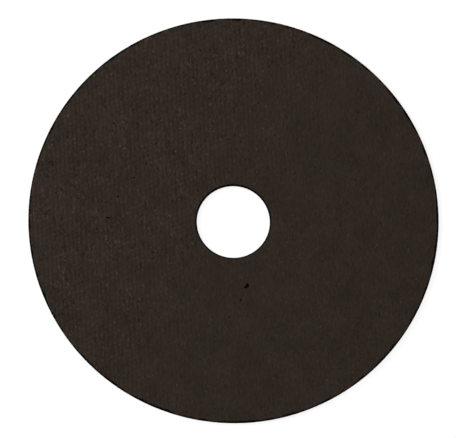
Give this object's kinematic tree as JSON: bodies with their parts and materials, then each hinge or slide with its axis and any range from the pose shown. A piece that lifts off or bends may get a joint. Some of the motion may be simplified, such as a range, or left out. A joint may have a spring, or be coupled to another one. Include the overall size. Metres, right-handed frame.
{
  "type": "cut-off wheel",
  "caption": "Thin flat disc of bonded abrasive with a plain arbor hole, clamped between flanges on a grinder's spindle to cut metal.",
  "frame": {"origin": "middle of the arbor hole, on the back face that the wheel lies on", "axes": "+Z along the wheel's axis, out of the front face; X and Y across the disc"},
  "size_m": [0.125, 0.125, 0.001],
  "materials": {
    "bonded_abrasive": "matte"
  },
  "bodies": {
    "root": {"cut_off_wheel": "bonded_abrasive"}
  },
  "joints": []
}
